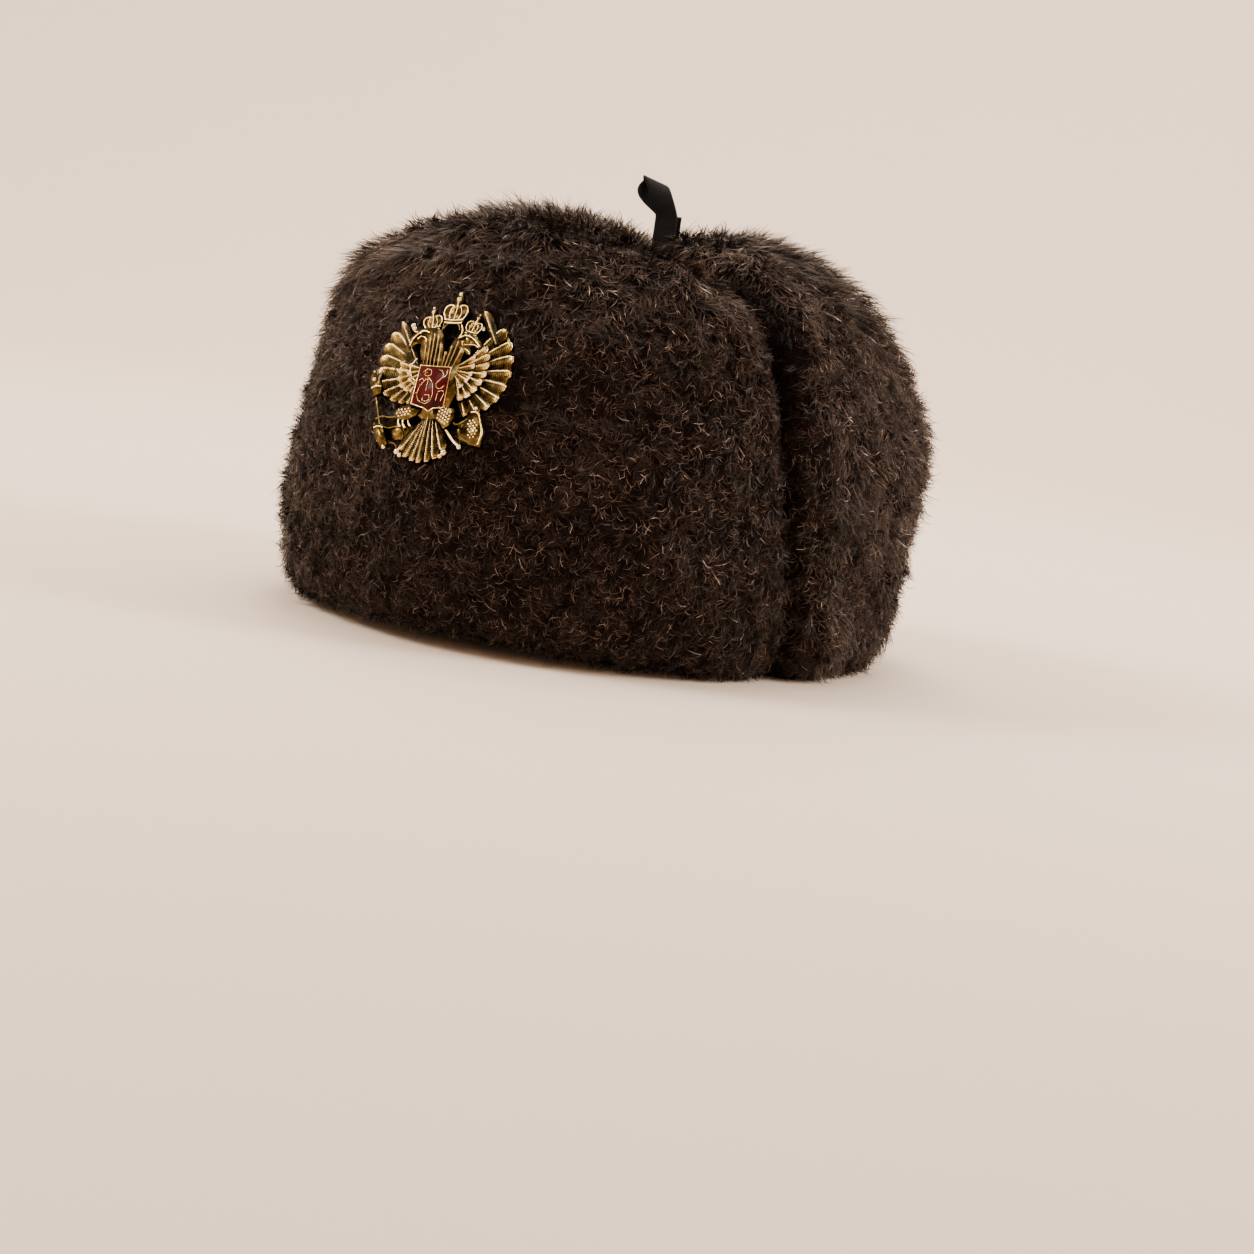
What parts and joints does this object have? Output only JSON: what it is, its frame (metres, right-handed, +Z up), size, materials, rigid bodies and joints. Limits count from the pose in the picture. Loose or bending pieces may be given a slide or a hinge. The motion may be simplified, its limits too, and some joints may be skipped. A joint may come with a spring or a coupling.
{
  "type": "ushanka",
  "caption": "Winter hat with a padded crown, four turned-up pile fur flaps, a cast double-headed eagle badge on the front flap and a ribbon tie over the crown",
  "frame": {"origin": "on the floor, under the middle of the hat's box", "axes": "+X the wearer's left, +Y the back of the head, +Z up; the badge faces -Y"},
  "size_m": [0.2388, 0.2826, 0.1783],
  "materials": {
    "pile_fur": "dark brown pile",
    "crown_cloth": "dark brown woven cloth",
    "gilt_metal": "polished cast",
    "red_enamel": "gloss enamel",
    "black_ribbon": "satin"
  },
  "bodies": {
    "root": {"crown": "crown_cloth", "front_flap": "pile_fur", "neck_flap": "pile_fur", "ear_flap_left": "pile_fur", "ear_flap_right": "pile_fur", "badge_eagle": "gilt_metal", "badge_shield": "red_enamel", "tie_knot": "black_ribbon", "tie_loop": "black_ribbon", "tie_end": "black_ribbon", "tie_strap_left": "black_ribbon", "tie_strap_right": "black_ribbon"}
  },
  "joints": []
}
